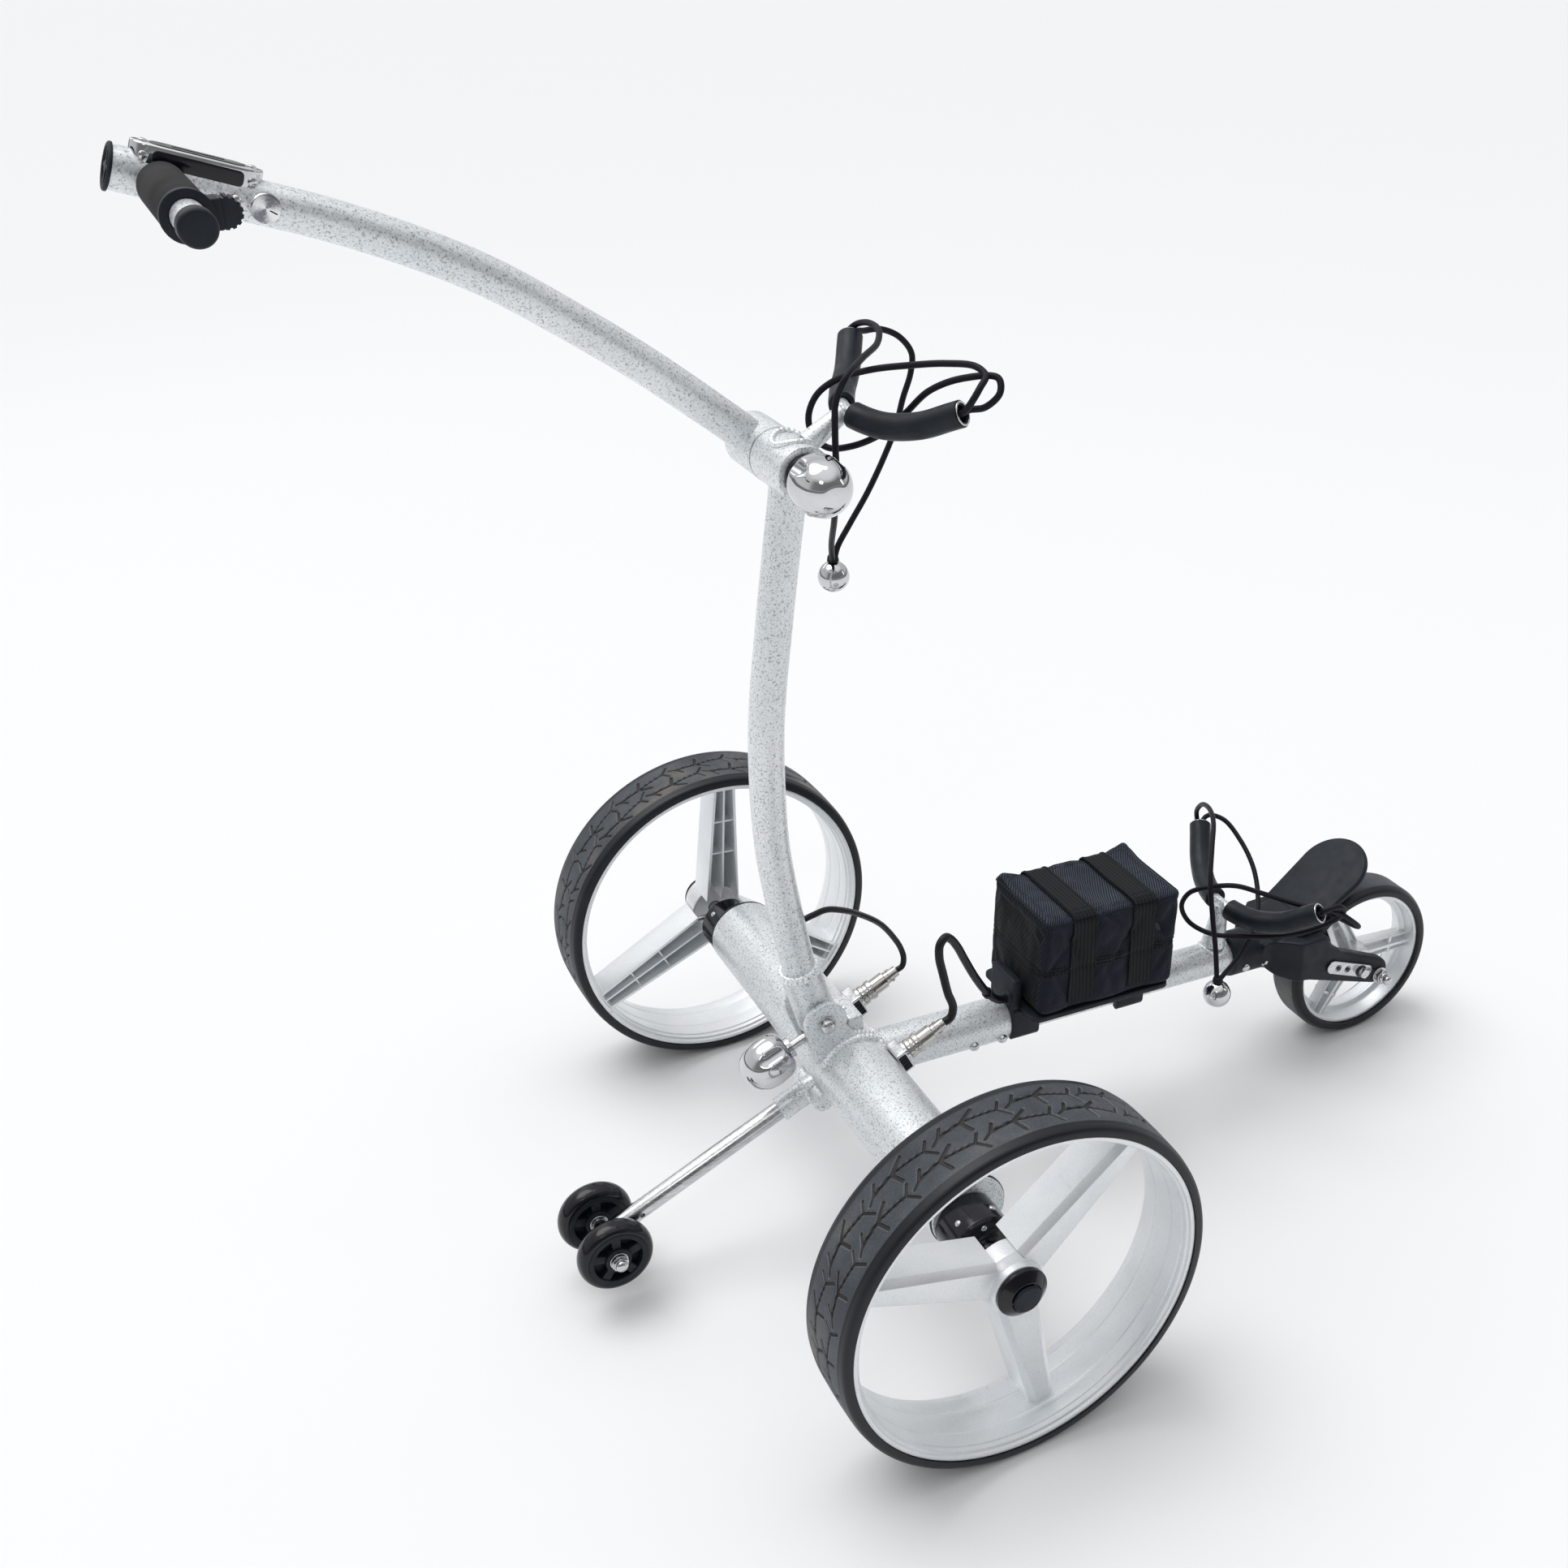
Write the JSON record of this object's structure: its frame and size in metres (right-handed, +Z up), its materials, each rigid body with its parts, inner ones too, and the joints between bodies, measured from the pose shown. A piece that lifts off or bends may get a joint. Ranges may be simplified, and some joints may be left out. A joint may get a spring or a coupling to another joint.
{
  "type": "electric golf trolley",
  "caption": "Folding three-wheel electric golf trolley with twin hub motors, clamp knobs, bungee bag cradles, a battery bag and an anti-tip arm.",
  "frame": {"origin": "middle of the footprint on the ground, under the centre of the bounding box", "axes": "+X forward to the front wheel, +Y to the left side, +Z up"},
  "size_m": [1.0551, 0.6376, 0.9281],
  "materials": {
    "silver_paint": "satin silver powder coat",
    "chrome": "polished",
    "steel": "zinc plated",
    "alloy_rim": "silver-grey moulded nylon",
    "tyre": "moulded tread",
    "rubber": "matt hose",
    "cord": "braided elastic",
    "cable": "PVC jacket",
    "black_plastic": "fine grain",
    "gloss_black": "gloss",
    "black_coat": "satin black powder coat",
    "foam": "closed-cell foam",
    "fabric": "coated twill",
    "webbing": "woven nylon webbing",
    "battery_case": "moulded ABS",
    "circuit_board": "solder mask"
  },
  "bodies": {
    "frame": {"axle_frame": "silver_paint", "front_tube": "silver_paint", "lower_bag_cradle": "silver_paint", "lower_hose_left": "rubber", "lower_hose_right": "rubber", "pivot_bolt": "steel", "control_socket": "black_plastic", "battery_socket": "black_plastic", "control_plug": "chrome", "battery_plug": "chrome", "gear_motor_left": "gloss_black", "gear_motor_right": "gloss_black", "controller_board": "circuit_board", "fork": "black_plastic", "front_axle": "steel", "bag_rest": "black_coat", "battery_tray": "black_plastic", "bag_body": "fabric", "bag_lid": "fabric", "battery_pack": "battery_case", "bag_strap_rear": "webbing", "bag_strap_front": "webbing", "anti_tip_rod": "steel", "control_cable": "cable", "battery_cable": "cable", "bungee_lower_left": "cord", "bungee_ball_lower": "chrome", "bungee_lower_right": "cord"},
    "wheel_left": {"drive_tyre_left": "tyre", "drive_rim_left": "alloy_rim", "drive_shaft_left": "steel", "hub_cap_left": "gloss_black"},
    "wheel_right": {"drive_tyre_right": "tyre", "drive_rim_right": "alloy_rim", "drive_shaft_right": "steel", "hub_cap_right": "gloss_black"},
    "release_left": {"hub_button_left": "gloss_black"},
    "release_right": {"hub_button_right": "gloss_black"},
    "front_wheel": {"front_tyre": "tyre", "front_rim": "alloy_rim"},
    "tip_wheel_left": {"anti_tip_wheel_left": "black_plastic"},
    "tip_wheel_right": {"anti_tip_wheel_right": "black_plastic"},
    "tip_button": {"anti_tip_button": "steel"},
    "mast": {"mast": "silver_paint", "upper_bag_cradle": "silver_paint", "upper_hose_left": "rubber", "upper_hose_right": "rubber", "bungee_upper_left": "cord", "bungee_ball_upper": "chrome", "bungee_upper_right": "cord"},
    "mast_knob": {"mast_clamp_knob": "chrome"},
    "handle": {"handle_tube": "silver_paint", "handle_end_plug": "black_plastic", "control_panel": "chrome", "grip_sleeve": "foam", "grip_end_cap": "black_plastic"},
    "handle_knob": {"handle_clamp_knob": "chrome"},
    "dial": {"speed_dial": "steel"},
    "thumb": {"thumb_wheel": "rubber"}
  },
  "joints": [
    {"name": "wheel_left_spin", "type": "hinge", "parent": "frame", "child": "wheel_left", "pos_m": [-0.1099, 0.287, 0.15], "axis": [0, 1, 0], "continuous": true},
    {"name": "wheel_right_spin", "type": "hinge", "parent": "frame", "child": "wheel_right", "pos_m": [-0.1099, -0.287, 0.15], "axis": [0, 1, 0], "continuous": true},
    {"name": "wheel_left_release", "type": "slide", "parent": "wheel_left", "child": "release_left", "axis": [0, -1, 0], "range_m": [0, 0.004], "stiffness_N_per_m": 400},
    {"name": "wheel_right_release", "type": "slide", "parent": "wheel_right", "child": "release_right", "axis": [0, 1, 0], "range_m": [0, 0.004], "stiffness_N_per_m": 400},
    {"name": "front_wheel_spin", "type": "hinge", "parent": "frame", "child": "front_wheel", "pos_m": [0.4444, 0, 0.081], "axis": [0, 1, 0], "continuous": true},
    {"name": "tip_wheel_left_spin", "type": "hinge", "parent": "frame", "child": "tip_wheel_left", "pos_m": [-0.3279, 0.025, 0.054], "axis": [0, 1, 0], "continuous": true},
    {"name": "tip_wheel_right_spin", "type": "hinge", "parent": "frame", "child": "tip_wheel_right", "pos_m": [-0.3279, -0.025, 0.054], "axis": [0, 1, 0], "continuous": true},
    {"name": "tip_button_press", "type": "slide", "parent": "frame", "child": "tip_button", "axis": [0.2773, 0.6963, -0.662], "range_m": [0, 0.0025], "stiffness_N_per_m": 300},
    {"name": "mast_fold", "type": "hinge", "parent": "frame", "child": "mast", "pos_m": [-0.1299, 0, 0.212], "axis": [0, 1, 0], "range_deg": [0, 70], "deforming": ["control_cable"]},
    {"name": "mast_knob_turn", "type": "hinge", "parent": "frame", "child": "mast_knob", "pos_m": [-0.1299, 0, 0.1916], "axis": [-0.9285, 0, -0.3714], "range_deg": [0, 270]},
    {"name": "handle_fold", "type": "hinge", "parent": "mast", "child": "handle", "pos_m": [-0.1259, 0, 0.6795], "axis": [0, -1, 0], "range_deg": [0, 105]},
    {"name": "handle_knob_turn", "type": "hinge", "parent": "mast", "child": "handle_knob", "pos_m": [-0.1259, 0, 0.6795], "axis": [0, -1, 0], "range_deg": [0, 270]},
    {"name": "dial_turn", "type": "hinge", "parent": "handle", "child": "dial", "pos_m": [-0.4419, 0.03, 0.8846], "axis": [0, -1, 0], "range_deg": [-135, 135]},
    {"name": "thumb_wheel_turn", "type": "hinge", "parent": "handle", "child": "thumb", "pos_m": [-0.476, -0.06, 0.9015], "axis": [0, -1, 0], "range_deg": [-60, 60]}
  ]
}
